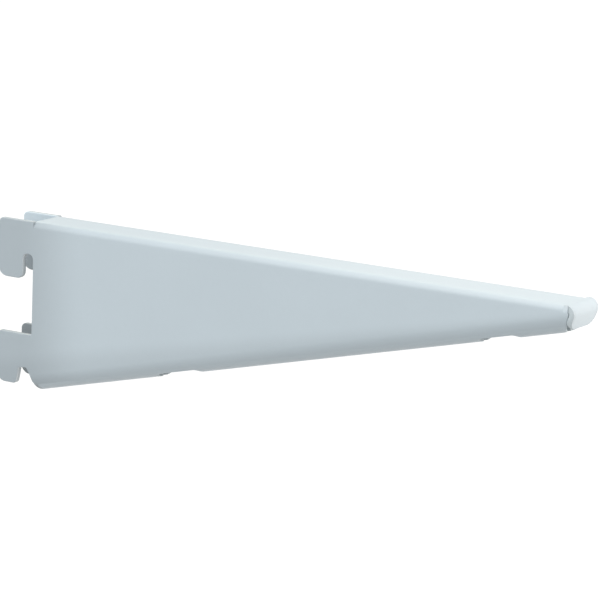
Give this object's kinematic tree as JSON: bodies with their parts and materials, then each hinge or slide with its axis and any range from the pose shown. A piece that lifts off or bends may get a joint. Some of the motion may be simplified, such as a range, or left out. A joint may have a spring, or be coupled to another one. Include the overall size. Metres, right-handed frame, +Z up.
{
  "type": "slotted shelf bracket",
  "caption": "folded sheet-steel shelf bracket: a tapering channel with a flat seat on top, rolled lower edges, a closed nose, and hooks that hang in the slots of an upright",
  "frame": {"origin": "where the shelf seat meets the upright's face, in the middle plane", "axes": "+X from the upright to the nose, +Y across the bracket, +Z up out of the shelf seat"},
  "size_m": [0.1837, 0.012, 0.0475],
  "materials": {
    "paint": "semi-gloss powder coat"
  },
  "bodies": {
    "root": {"bracket": "paint"}
  },
  "joints": []
}
